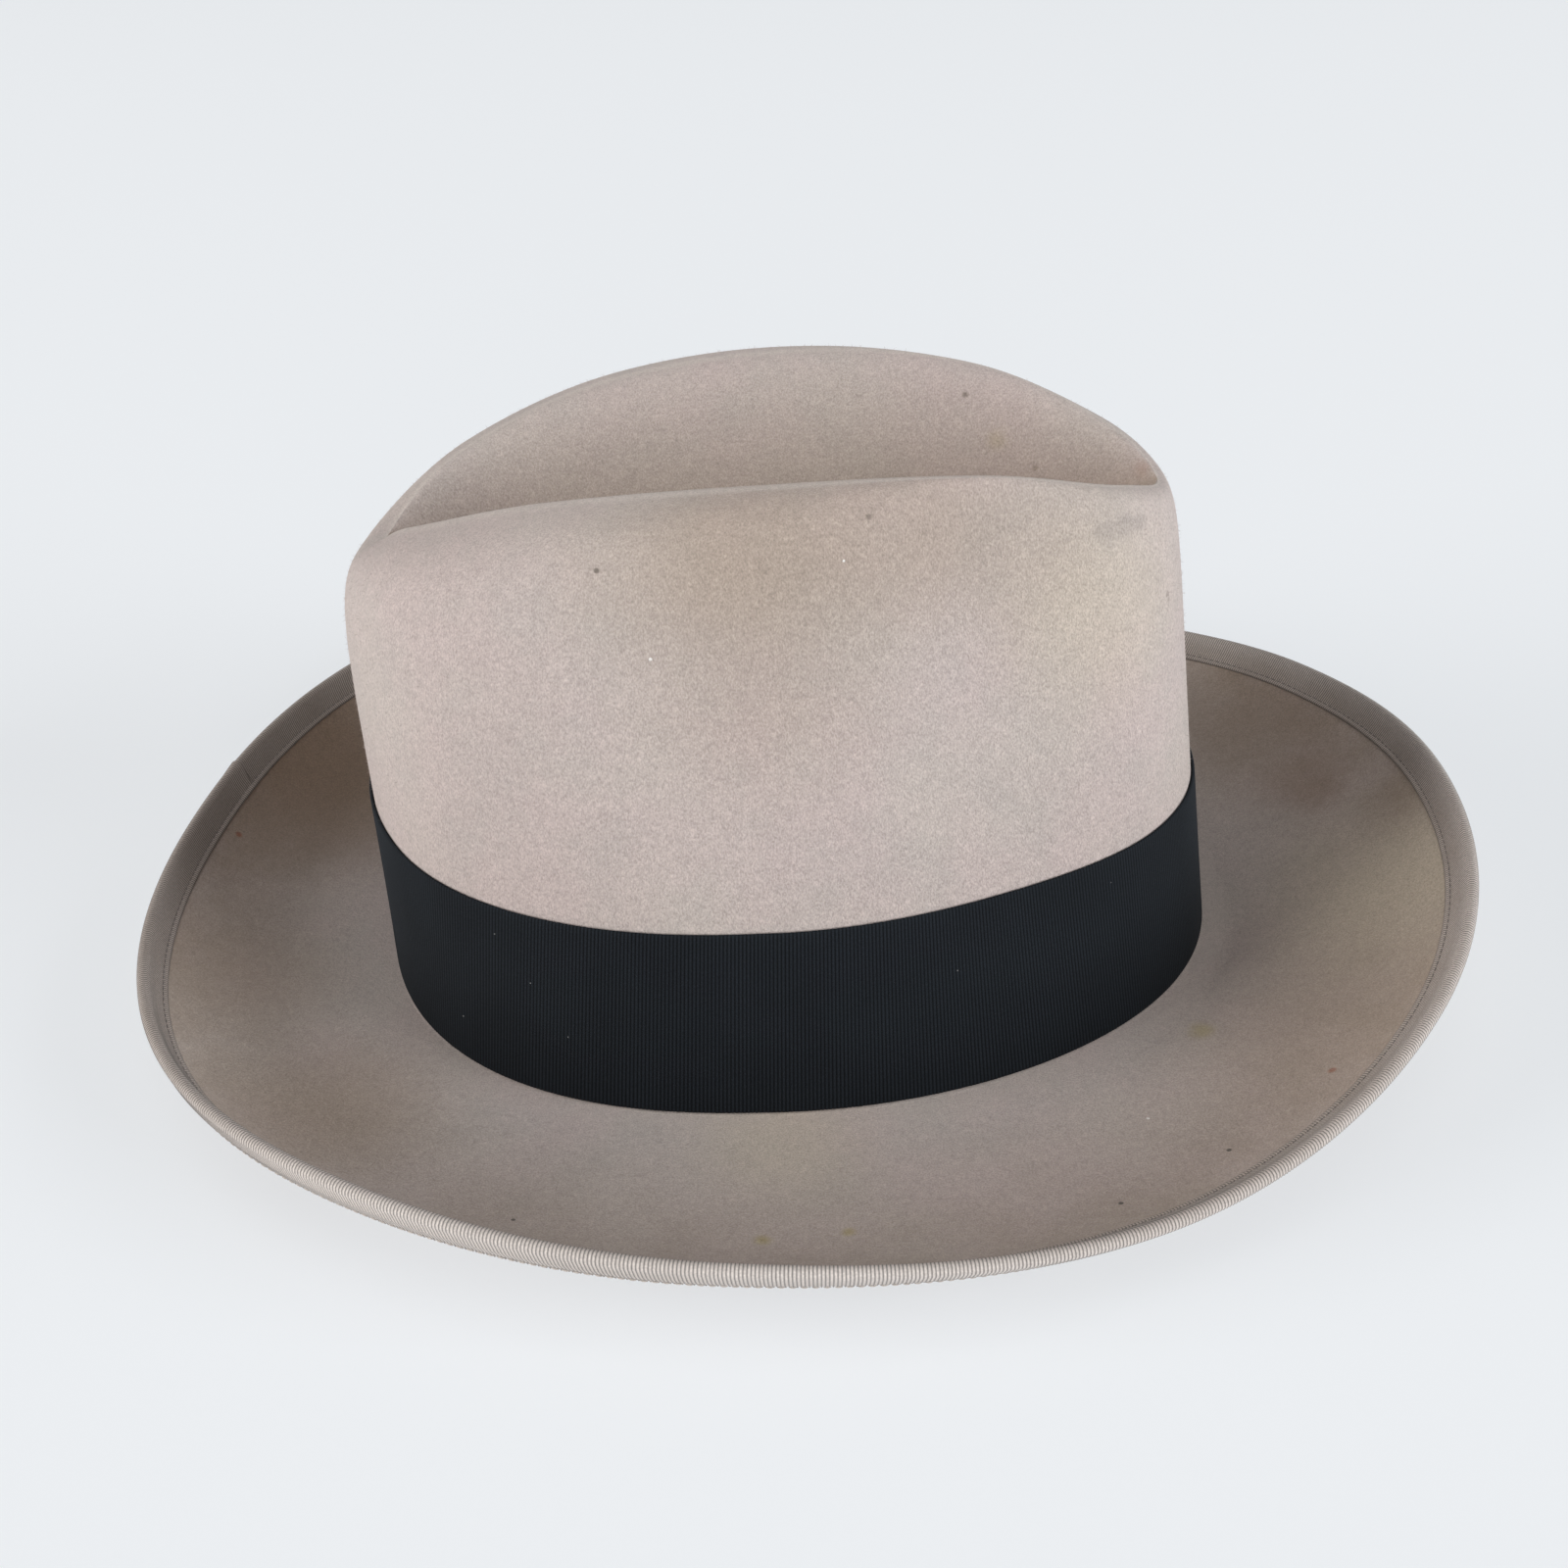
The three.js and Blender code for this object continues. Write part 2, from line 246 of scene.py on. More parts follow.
def brim_point(theta, distance, lift):
    """A point a distance out along the brim's upper face and a lift square to that face."""
    steps = 40
    out = 0
    rise = 0
    for index in range(steps):
        slope = brim_slope(theta, distance * (index + 0.5) / steps)
        out = out + np.cos(slope) * distance / steps
        rise = rise + np.sin(slope) * distance / steps
    slope = brim_slope(theta, distance)
    out = out - np.sin(slope) * lift
    rise = rise + np.cos(slope) * lift
    return head_point(theta) + outward(theta) * out[..., None] + points(0.0, 0.0, rise)


# The CAD model is centred on its own outline, so the hat moves by the middle of its two ends.
hat_shift = 0
ends = brim_point(np.array([0, math.pi]), brim_reach(np.array([0, math.pi])), np.zeros(2))
hat_shift = ends[:, 0].mean()

felt_columns = 240
felt_brim_rows = 50
felt_wall_rows = 70
felt_crease_rows = 48
felt_under_rows = 30
felt_inner_rows = 36
turn_size = 0.0034
turn_rows = 6
edge_softness = 0.0005
inner_top = 0.995

# The nap stays clear of the ribbons, whose widths these are, and of what the hat stands on.
band_width = 0.0425
binding_width = 0.0078
band_margin = 1.02
binding_margin = 1.05
nap_clearance = 0.0012

# Shares of the wall at which the painted highlight along the ridge starts and is full, and the share of
# the way down into the crease at which the painted shade there is full.
ridge_highlight_start = 0.955
ridge_highlight_full = 0.995
crease_shade_full = 0.75

column_angle = np.arange(felt_columns) * 2 * math.pi / felt_columns


def rings(count, low=0.0, high=1.0):
    """Shares for a number of rows, each repeated for every column of the felt."""
    return np.repeat(np.linspace(low, high, count)[:, None], felt_columns, 1)


def angles_for(rows):
    return np.repeat(column_angle[None], len(rows), 0)


def crease_lines(make):
    """Rows of points across the top, one for each pair of columns that face each other."""
    theta = np.repeat(column_angle[1:felt_columns // 2, None], felt_crease_rows - 1, 1)
    side = np.linspace(1, -1, felt_crease_rows + 1)[1:-1]
    return make(theta, np.repeat(side[None], len(theta), 0))


def inner_crease(theta, side):
    normal = -face_normal(crease_point, theta, side)
    return crease_point(theta, side) - normal * felt_thickness


def inner_wall(theta, share):
    return wall_point(theta, share) - face_normal(wall_point, theta, share) * felt_thickness


def join_rings(first, second, columns):
    nexts = (np.arange(columns) + 1) % columns
    here = np.arange(columns)
    return np.stack([first + here, first + nexts, second + nexts, second + here], 1).tolist()


def crease_faces(ring, lines, turned):
    """Faces of the top between a ridge ring and its crosswise lines of points."""
    half = felt_columns // 2
    middle = felt_crease_rows - 1
    table = np.empty((half + 1, felt_crease_rows + 1), int)
    table[0] = ring
    table[half] = ring + half
    inner = np.arange(1, half)
    table[1:half, 0] = ring + inner
    table[1:half, -1] = ring + felt_columns - inner
    table[1:half, 1:-1] = lines + np.arange((half - 1) * middle).reshape(half - 1, middle)
    corners = np.stack([table[:-1, :-1], table[:-1, 1:], table[1:, 1:], table[1:, :-1]], -1)
    made = []
    for corner in corners.reshape(-1, 4).tolist():
        kept = list(dict.fromkeys(corner))
        made.append(kept[::-1] if turned else kept)
    return made


def closed_mesh(name, vertices, faces):
    mesh = bpy.data.meshes.new(name)
    mesh.from_pydata(vertices.reshape(-1, 3).tolist(), [], faces)
    mesh.polygons.foreach_set("use_smooth", [True] * len(mesh.polygons))
    mesh.update()
    return mesh


def point_attribute(mesh, name, values):
    made = mesh.attributes.new(name, "FLOAT", "POINT")
    made.data.foreach_set("value", np.ascontiguousarray(values, np.float32).ravel())


def inner_turn(start, finish):
    """Rows of the rounded corner between the inside of the wall and the brim's underside."""
    corner = start * np.array([1, 1, 0])
    rows = []
    for share in np.linspace(0, 1, turn_rows + 1)[1:-1]:
        bent = (1 - share) ** 2 * start + 2 * (1 - share) * share * corner
        rows.append(bent + share ** 2 * finish)
    return np.array(rows)


def outer_groups():
    """Groups of rows of the felt's outer face, with the shares that are painted on each group.

    napped is 1 clear of the ribbons, brim_share runs from 0 at the break to 1 at the brim's edge, the
    ridge's share is 1 along the ridge, which is painted pale as a highlight, and the crease's share is 1
    down in the crease, which is painted darker as shade.
    """
    brim_rows = rings(felt_brim_rows, 1, 0)
    reach = brim_reach(angles_for(brim_rows))
    distance = (reach - edge_softness) * brim_rows
    brim = brim_point(angles_for(brim_rows), distance, 0 * distance)
    wall_rows = rings(felt_wall_rows)
    wall = wall_point(angles_for(wall_rows), wall_rows)[1:]
    wall_rows = wall_rows[1:]
    banded = wall_share_at(column_angle, np.full(felt_columns, band_width * band_margin))
    # Pale along the ridge: a painted highlight of its lit rim.
    fuzz = smooth_step((wall_rows - ridge_highlight_start) / (ridge_highlight_full - ridge_highlight_start))
    depth = 1 - np.abs(np.linspace(1, -1, felt_crease_rows + 1)[1:-1])
    return [
        dict(rows=brim, brim_share=brim_rows, napped=distance < reach - binding_width * binding_margin),
        dict(rows=wall, napped=wall_rows > banded, ridge_highlight=fuzz),
        # Darker down into the crease: painted shade.
        dict(rows=crease_lines(crease_point), napped=1, crease_shade=smooth_step(depth / crease_shade_full)),
    ]


def inner_groups():
    """Groups of rows of the felt's inner face and of the brim's underside and edge."""
    foot_share = wall_share_at(column_angle, np.full(felt_columns, turn_size))
    wall_rows = foot_share + (inner_top - foot_share) * rings(felt_inner_rows, 1, 0)
    wall = inner_wall(angles_for(wall_rows), wall_rows)
    ridge = ridge_place(column_angle) - points(0.0, 0.0, felt_thickness)
    under_rows = rings(felt_under_rows)
    reach = brim_reach(angles_for(under_rows))
    turn_out = turn_size - felt_thickness
    distance = turn_out + (reach - edge_softness - turn_out) * under_rows
    under = brim_point(angles_for(under_rows), distance, 0 * distance - felt_thickness)
    clear = distance < reach - binding_width * binding_margin
    clear &= under[..., 2] > nap_clearance
    edge_angles = np.stack([column_angle] * 2)
    edge_lift = np.array([edge_softness - felt_thickness, -edge_softness])[:, None]
    edge = brim_point(edge_angles, brim_reach(edge_angles), edge_lift + 0 * edge_angles)
    return [
        dict(rows=ridge[None]),
        dict(rows=wall),
        dict(rows=inner_turn(wall[-1], under[0])),
        dict(rows=under, brim_share=under_rows, napped=clear),
        dict(rows=edge),
        dict(rows=crease_lines(inner_crease)),
    ]


def make_felt():
    outer = outer_groups()
    inner = inner_groups()
    outer_rows = sum(len(group["rows"]) for group in outer[:-1])
    inner_rows = sum(len(group["rows"]) for group in inner[:-1])
    crease_points = outer[-1]["rows"].size // 3
    outer_lines = outer_rows * felt_columns
    inner_start = outer_lines + crease_points
    faces = []
    for row in range(outer_rows - 1):
        faces += join_rings(row * felt_columns, (row + 1) * felt_columns, felt_columns)
    faces += crease_faces((outer_rows - 1) * felt_columns, outer_lines, True)
    for row in range(inner_rows):
        second = inner_start + (row + 1) * felt_columns if row + 1 < inner_rows else 0
        faces += join_rings(inner_start + row * felt_columns, second, felt_columns)
    faces += crease_faces(inner_start, inner_start + inner_rows * felt_columns, False)
    groups = outer + inner
    vertices = np.concatenate([group["rows"].reshape(-1, 3) for group in groups])
    mesh = closed_mesh("felt_body_finish", vertices, faces)
    for name in ("brim_share", "napped", "ridge_highlight", "crease_shade"):
        painted = [np.broadcast_to(group.get(name, 0.0), group["rows"].shape[:-1]) for group in groups]
        point_attribute(mesh, name, np.concatenate([part.ravel() for part in painted]))
    return mesh


def feed(tree, receiver, inputs):
    """Sets a node's inputs, each to a value or to another node's output."""
    for name, value in inputs.items():
        if isinstance(value, bpy.types.NodeSocket):
            tree.links.new(value, receiver.inputs[name])
        else:
            receiver.inputs[name].default_value = value


def node(tree, kind, inputs, **settings):
    """A new node with its inputs and its settings."""
    made = tree.nodes.new(kind)
    for name, value in settings.items():
        setattr(made, name, value)
    feed(tree, made, inputs)
    return made


def new_material(name):
    material = bpy.data.materials.new(name)
    material.use_nodes = True
    tree = material.node_tree
    tree.nodes.clear()
    shader = tree.nodes.new("ShaderNodeBsdfPrincipled")
    output = tree.nodes.new("ShaderNodeOutputMaterial")
    tree.links.new(shader.outputs["BSDF"], output.inputs["Surface"])
    return material, tree, shader


def noise(tree, vector, scale, detail=2.0, roughness=0.5):
    made = node(tree, "ShaderNodeTexNoise", {
        "Vector": vector, "Scale": scale, "Detail": detail, "Roughness": roughness})
    return made.outputs["Fac"]


def ramp(tree, value, low, high, to_low=0.0, to_high=1.0, shape="LINEAR"):
    made = node(tree, "ShaderNodeMapRange", {
        "Value": value, "From Min": low, "From Max": high, "To Min": to_low, "To Max": to_high},
        interpolation_type=shape)
    return made.outputs["Result"]


def tint(tree, factor, first, second, blend="MIX"):
    made = node(tree, "ShaderNodeMix", {0: factor, 6: first, 7: second}, data_type="RGBA",
                blend_type=blend)
    return made.outputs[2]


def painted_share(tree, name):
    return node(tree, "ShaderNodeAttribute", {}, attribute_name=name).outputs["Fac"]


def math_node(tree, operation, first, second=0.0):
    return node(tree, "ShaderNodeMath", {0: first, 1: second}, operation=operation).outputs[0]


def product(tree, first, second):
    return math_node(tree, "MULTIPLY", first, second)


def vector_math(tree, operation, inputs):
    return node(tree, "ShaderNodeVectorMath", inputs, operation=operation).outputs


def dress_shader(tree, shader, colour, relief, strength, distance, values):
    """Gives a shader its colour, its relief up to a distance in metres and its other values."""
    bump = node(tree, "ShaderNodeBump", {"Strength": strength, "Distance": distance, "Height": relief})
    feed(tree, shader, {"Base Color": colour, "Normal": bump.outputs["Normal"]})
    feed(tree, shader, values)


# Reflectances of clean felt, of its faint rosy and ashen patches and of its marks, among them painted
# shade and painted highlights.
felt_pearl = (0.455, 0.40, 0.37, 1)
felt_rose = (0.46, 0.39, 0.37, 1)
felt_ash = (0.39, 0.357, 0.333, 1)
# Pale yellow, used for painted highlights.
pale_yellow_highlight = (0.51, 0.44, 0.345, 1)
ridge_highlight_colour = (0.53, 0.475, 0.435, 1)
handled_brown_and_shade = (0.20, 0.13, 0.08, 1)
soft_brown_and_shade = (0.31, 0.24, 0.18, 1)
soot_grey = (0.17, 0.155, 0.155, 1)
speck_brown = (0.11, 0.09, 0.075, 1)
dark_speck = (0.05, 0.045, 0.04, 1)
oil_yellow = (0.34, 0.28, 0.11, 1)
rust_red = (0.26, 0.10, 0.06, 1)
lint_white = (0.85, 0.84, 0.82, 1)

# How strongly the brim is darkened towards its edge, brown together with painted shade, how strong the
# painted shade down in the crease and the painted highlight along the ridge are, and how far a mark's
# outline wanders, as a share of its radius and in metres at most.
brim_browning_and_shade = 0.65
crease_shading = 0.62
ridge_highlighting = 0.7
mark_drift = 0.8
mark_drift_most = 0.005

# Marks of wear and stains, among them broad patches of painted shade and painted highlight: middle and
# radius in metres, colour and strength, and the share of the radius that is the soft rim, which is all
# of it where none is given.
felt_marks = [
    # Broad brown patches on the brim's back: brown together with painted shade where the crown shades
    # the brim.
    dict(at=(-0.143, 0.05, 0.0096), size=0.066, colour=handled_brown_and_shade, strength=0.68),
    dict(at=(-0.118, 0.036, 0.003), size=0.056, colour=handled_brown_and_shade, strength=0.52),
    dict(at=(-0.142, 0.01, 0.007), size=0.04, colour=handled_brown_and_shade, strength=0.35),
    dict(at=(-0.135, -0.052, 0.006), size=0.04, colour=soft_brown_and_shade, strength=0.45),
    dict(at=(-0.098, -0.092, 0.0045), size=0.042, colour=soft_brown_and_shade, strength=0.6),
    # Lighter and yellower at the front of the brim: a painted highlight together with a yellowed tone.
    dict(at=(0.143, -0.018, 0.0205), size=0.055, colour=pale_yellow_highlight, strength=0.75),
    dict(at=(0.125, -0.06, 0.012), size=0.062, colour=soft_brown_and_shade, strength=0.5),
    # Lighter beside the band on the near brim: a painted highlight.
    dict(at=(0.001, -0.093, 0.002), size=0.03, colour=pale_yellow_highlight, strength=0.5),
    dict(at=(-0.007, -0.054, 0.122), size=0.034, colour=soft_brown_and_shade, strength=0.52),
    dict(at=(-0.029, -0.056, 0.117), size=0.028, colour=soft_brown_and_shade, strength=0.22),
    dict(at=(0.022, -0.046, 0.121), size=0.034, colour=soft_brown_and_shade, strength=0.46),
    dict(at=(0.046, -0.036, 0.115), size=0.034, colour=soft_brown_and_shade, strength=0.28),
    # This broad patch darkens the side hollow: painted shade.
    dict(at=(-0.003, -0.059, 0.098), size=0.044, colour=soft_brown_and_shade, strength=0.3),
    # Lighter where the crown's front turns to the light: a painted highlight.
    dict(at=(0.066, -0.034, 0.098), size=0.036, colour=pale_yellow_highlight, strength=0.4),
    dict(at=(0.0645, -0.0292, 0.114), size=0.0046, colour=soot_grey, strength=0.26),
    dict(at=(0.069, -0.0262, 0.1143), size=0.005, colour=soot_grey, strength=0.32),
    dict(at=(0.0722, -0.0232, 0.1139), size=0.0042, colour=soot_grey, strength=0.26),
    dict(at=(-0.0356, -0.0568, 0.1169), size=0.0008, rim=0.6, colour=speck_brown, strength=0.75),
    dict(at=(-0.0376, -0.0571, 0.1172), size=0.0007, rim=0.6, colour=speck_brown, strength=0.6),
    dict(at=(0.0166, -0.0471, 0.1245), size=0.001, rim=0.9, colour=speck_brown, strength=0.6),
    dict(at=(0.037, 0.028, 0.1227), size=0.0012, rim=0.9, colour=speck_brown, strength=0.7),
    dict(at=(0.0533, 0.0157, 0.1098), size=0.0011, rim=0.9, colour=speck_brown, strength=0.6),
    dict(at=(0.0444, 0.0209, 0.1144), size=0.0045, colour=oil_yellow, strength=0.28),
    dict(at=(0.0759, 0.006, 0.1138), size=0.0036, colour=rust_red, strength=0.25),
    dict(at=(0.0803, -0.0193, 0.0954), size=0.0013, rim=0.9, colour=speck_brown, strength=0.5),
    dict(at=(0.0805, -0.019, 0.0938), size=0.0011, rim=0.9, colour=speck_brown, strength=0.4),
    dict(at=(-0.0498, -0.1229, 0.008), size=0.0006, rim=0.5, colour=dark_speck, strength=0.85),
    dict(at=(0.092, -0.0983, 0.0099), size=0.0007, rim=0.5, colour=dark_speck, strength=0.85),
    dict(at=(0.0693, -0.1117, 0.0078), size=0.0007, rim=0.5, colour=dark_speck, strength=0.85),
    dict(at=(-0.0009, -0.1244, 0.0069), size=0.003, colour=oil_yellow, strength=0.65),
    dict(at=(0.0161, -0.1207, 0.0061), size=0.0024, colour=oil_yellow, strength=0.65),
    dict(at=(0.0931, -0.0553, 0.0038), size=0.005, colour=oil_yellow, strength=0.5),
    dict(at=(-0.1501, 0.0019, 0.0108), size=0.0014, rim=0.8, colour=rust_red, strength=0.8),
    dict(at=(0.1157, -0.0786, 0.0146), size=0.0014, rim=0.8, colour=rust_red, strength=0.75),
    # Brown patches on the brim's far front: brown together with painted shade where the crown shades the
    # brim.
    dict(at=(0.1329, 0.0354, 0.0147), size=0.019, colour=handled_brown_and_shade, strength=0.34),
    dict(at=(0.1345, 0.028, 0.015), size=0.012, colour=handled_brown_and_shade, strength=0.24),
    dict(at=(0.1496, 0.0112, 0.0249), size=0.016, colour=handled_brown_and_shade, strength=0.24),
    dict(at=(0.122, 0.064, 0.015), size=0.048, colour=handled_brown_and_shade, strength=0.4),
    dict(at=(-0.0255, -0.062, 0.1004), size=0.00045, rim=0.5, colour=lint_white, strength=0.8),
    dict(at=(0.012, -0.0517, 0.1172), size=0.00035, rim=0.5, colour=lint_white, strength=0.8),
    dict(at=(0.0779, -0.0847, 0.0046), size=0.00045, rim=0.5, colour=lint_white, strength=0.8),
]


def felt_finish(name):
    """Felt: broad and small patches, then the brim darkened towards its edge as brown together with
    painted shade, the marks, painted shade down in the crease and a painted highlight along the ridge,
    then grain and fibres in colour and relief.
    """
    material, tree, shader = new_material(name)
    place = tree.nodes.new("ShaderNodeTexCoord").outputs["Object"]
    broad = noise(tree, place, scale=24, detail=3)
    patches = noise(tree, place, scale=70, detail=4, roughness=0.6)
    mottle = noise(tree, place, scale=480, detail=3, roughness=0.6)
    grain = noise(tree, place, scale=1100, detail=2, roughness=0.6)
    brushed = node(tree, "ShaderNodeMapping", {"Vector": place, "Scale": (1.0, 1.0, 0.5)})
    fibres = noise(tree, brushed.outputs["Vector"], scale=3000, detail=2, roughness=0.7)
    colour = tint(tree, ramp(tree, broad, 0.4, 0.62), felt_pearl, felt_rose)
    colour = tint(tree, ramp(tree, patches, 0.45, 0.75, 0, 0.5), colour, felt_ash)
    uneven = ramp(tree, patches, 0.3, 0.65, 0.5, 1)
    # The brim darkens towards its edge: brown together with painted shade where its curl turns from the
    # light.
    brim_darkening = ramp(tree, painted_share(tree, "brim_share"), 0.15, 0.9, 0, brim_browning_and_shade)
    brim_darkening = product(tree, brim_darkening, uneven)
    colour = tint(tree, brim_darkening, colour, soft_brown_and_shade)
    wander = node(tree, "ShaderNodeTexNoise", {"Vector": place, "Scale": 150.0, "Detail": 3.0})
    drift = vector_math(tree, "SUBTRACT", {0: wander.outputs["Color"], 1: (0.5, 0.5, 0.5)})
    for mark in felt_marks:
        wavy = min(mark["size"] * mark_drift, mark_drift_most)
        spread = vector_math(tree, "SCALE", {0: drift["Vector"], "Scale": wavy})
        moved = vector_math(tree, "ADD", {0: place, 1: spread["Vector"]})
        apart = vector_math(tree, "DISTANCE", {0: moved["Vector"], 1: mark["at"]})
        inner = mark["size"] * (1 - mark.get("rim", 1.0))
        amount = ramp(tree, apart["Value"], mark["size"], inner, 0, mark["strength"], "SMOOTHERSTEP")
        colour = tint(tree, amount, colour, mark["colour"])
    # Darker down in the crease: painted shade.
    crease_darkening = product(tree, painted_share(tree, "crease_shade"), crease_shading)
    colour = tint(tree, crease_darkening, colour, soft_brown_and_shade)
    # Paler along the ridge: a painted highlight.
    fuzz = product(tree, painted_share(tree, "ridge_highlight"), ridge_highlighting)
    colour = tint(tree, fuzz, colour, ridge_highlight_colour)
    speckle = ramp(tree, grain, 0.32, 0.68, 0.94, 1.05)
    speckle = product(tree, speckle, ramp(tree, mottle, 0.3, 0.7, 0.94, 1.05))
    speckle = product(tree, speckle, ramp(tree, fibres, 0.3, 0.7, 0.76, 1.2))
    shade = node(tree, "ShaderNodeCombineColor", {0: speckle, 1: speckle, 2: speckle})
    colour = tint(tree, 1.0, colour, shade.outputs[0], "MULTIPLY")
    relief = product(tree, grain, 0.5)
    relief = math_node(tree, "ADD", relief, product(tree, fibres, 0.35))
    dress_shader(tree, shader, colour, relief, strength=0.8, distance=0.0005, values={
        "Roughness": 0.95, "Specular IOR Level": 0.12, "Sheen Weight": 0.22,
        "Sheen Roughness": 0.5, "Sheen Tint": (1.0, 0.94, 0.9, 1)})
    return material


def add_piece(name, mesh):
    piece = bpy.data.objects.new(name, mesh)
    bpy.context.scene.collection.objects.link(piece)
    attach(piece, "root")
    return piece


felt_material = felt_finish("pearl_fur_felt")
felt_mesh = make_felt()
felt_mesh.materials.append(felt_material)
felt = add_piece("felt_body_finish", felt_mesh)
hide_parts("felt_body")

# Nap
# Brushed fur felt keeps a fine, short fuzz of hair ends all over its outer face, which softens the
# hat's outline. They lean every way, and there are none under the ribbons or where the hat stands.
nap_density = 260000.0
nap_length = 0.0008
nap_width = 0.00003
nap_seed = 7
nap_lean = (0.9, 0.9, 3.1)


def geometry_tree(name, sockets):
    """An empty geometry tree with named inputs, and its input and output nodes."""
    tree = bpy.data.node_groups.new(name, "GeometryNodeTree")
    tree.interface.new_socket("Geometry", in_out="INPUT", socket_type="NodeSocketGeometry")
    for label, kind in sockets:
        tree.interface.new_socket(label, in_out="INPUT", socket_type="NodeSocket" + kind)
    tree.interface.new_socket("Geometry", in_out="OUTPUT", socket_type="NodeSocketGeometry")
    return tree, tree.nodes.new("NodeGroupInput"), tree.nodes.new("NodeGroupOutput")


def mesh_share(tree, name):
    made = node(tree, "GeometryNodeInputNamedAttribute", {"Name": name}, data_type="FLOAT")
    return made.outputs["Attribute"]


def finish_tree(tree, inputs, outputs, geometry):
    """Ends a geometry tree: what it has made gets the material that it was handed."""
    painted = node(tree, "GeometryNodeSetMaterial", {
        "Geometry": geometry, "Material": inputs.outputs["Material"]})
    tree.links.new(painted.outputs["Geometry"], outputs.inputs["Geometry"])


def grow(tree, mesh, name, values):
    """A piece with the plain mesh that a geometry tree makes from a mesh, its named inputs set."""
    source = bpy.data.objects.new(name, mesh)
    bpy.context.scene.collection.objects.link(source)
    modifier = source.modifiers.new(tree.name, "NODES")
    modifier.node_group = tree
    for item in tree.interface.items_tree:
        if item.in_out == "INPUT" and item.name in values:
            modifier[item.identifier] = values[item.name]
    graph = bpy.context.evaluated_depsgraph_get()
    made = bpy.data.meshes.new_from_object(source.evaluated_get(graph), depsgraph=graph)
    source.modifiers.remove(modifier)
    bpy.data.objects.remove(source)
    made.name = name
    return add_piece(name, made)


nap_tree, nap_in, nap_out = geometry_tree("felt_nap", [
    ("Density", "Float"), ("Length", "Float"), ("Width", "Float"), ("Seed", "Int"),
    ("Material", "Material")])
is_napped = node(nap_tree, "FunctionNodeCompare", {0: mesh_share(nap_tree, "napped"), 1: 0.5},
                 data_type="FLOAT", operation="GREATER_THAN")
roots = node(nap_tree, "GeometryNodeDistributePointsOnFaces", {
    "Mesh": nap_in.outputs["Geometry"], "Selection": is_napped.outputs["Result"],
    "Density": nap_in.outputs["Density"], "Seed": nap_in.outputs["Seed"]})
hair = node(nap_tree, "GeometryNodeMeshCone", {
    "Vertices": 3, "Radius Top": 0.0, "Radius Bottom": nap_in.outputs["Width"],
    "Depth": nap_in.outputs["Length"]}, fill_type="NGON")
lean = node(nap_tree, "FunctionNodeRandomValue", {
    0: tuple(-angle for angle in nap_lean), 1: nap_lean, "Seed": nap_in.outputs["Seed"]},
    data_type="FLOAT_VECTOR")
turned = node(nap_tree, "FunctionNodeRotateRotation", {
    "Rotation": roots.outputs["Rotation"], "Rotate By": lean.outputs[0]}, rotation_space="LOCAL")
size = node(nap_tree, "FunctionNodeRandomValue", {
    2: 0.5, 3: 1.3, "Seed": nap_in.outputs["Seed"]}, data_type="FLOAT")
hairs = node(nap_tree, "GeometryNodeInstanceOnPoints", {
    "Points": roots.outputs["Points"], "Instance": hair.outputs["Mesh"],
    "Rotation": turned.outputs["Rotation"], "Scale": size.outputs[1]})
solid = node(nap_tree, "GeometryNodeRealizeInstances", {"Geometry": hairs.outputs["Instances"]})
finish_tree(nap_tree, nap_in, nap_out, solid.outputs["Geometry"])
grow(nap_tree, felt_mesh.copy(), "felt_nap", {
    "Density": nap_density, "Length": nap_length, "Width": nap_width, "Seed": nap_seed,
    "Material": felt_material})

# Hat band
# A black grosgrain ribbon drawn tight round the foot of the crown, woven with fine upright ribs.
# It stands on the brim, and its end is lapped on the wearer's left.
ribbon_gap = 0.00015
band_foot = 0.0003
band_thickness = 0.0006
band_rib_pitch = 0.00082
band_rib_height = 0.00017
band_start = math.radians(96)
rib_columns = 2
warp_pitch = 0.00019

# What ribbons show: pale thread for a painted highlight together with rubbed wear, thread browned by
# handling, where the darkening along the first edge starts and ends in metres, dirt together with
# painted shade, and specks of dust.
rubbed_and_lit_thread = (0.78, 0.73, 0.70, 1)
soiled_thread = (0.24, 0.205, 0.185, 1)
dust_grey = (0.5, 0.5, 0.5, 1)
grime_and_shade_from = 0.0002
grime_and_shade_to = 0.0009

# Rows of the band's section: distance up the band, lift off its inner face and the ribs' height
# there, as shares of the width, the thickness and the full rib.
band_section = [
    dict(up=0.0, lift=0.45, rib=0.0),
    dict(up=0.004, lift=0.85, rib=0.4),
    dict(up=0.014, lift=1.0, rib=0.9),
    *[dict(up=up, lift=1.0, rib=1.0) for up in (0.04, 0.2, 0.35, 0.5, 0.65, 0.8, 0.96)],
    dict(up=0.986, lift=1.0, rib=0.9),
    dict(up=0.996, lift=0.85, rib=0.4),
    dict(up=1.0, lift=0.45, rib=0.0),
    *[dict(up=up, lift=0.0, rib=0.0) for up in (0.996, 0.66, 0.34, 0.004)],
]


def even_angles(path, pitch, start):
    """Angles at even distances along a closed path: rib_columns of them for each rib."""
    fine_steps = 3600
    fine = start + np.linspace(0, 2 * math.pi, fine_steps + 1)
    line = path(fine)
    length = np.concatenate([[0], np.cumsum(np.linalg.norm(np.diff(line, axis=0), axis=1))])
    count = round(length[-1] / pitch) * rib_columns
    return np.interp(np.arange(count) / count * length[-1], length, fine)


def band_points(theta, up, lift):
    """Points of the band at a distance up it and a lift off the felt."""
    share = wall_share_at(theta, up)
    return wall_point(theta, share) + face_normal(wall_point, theta, share) * lift[..., None]


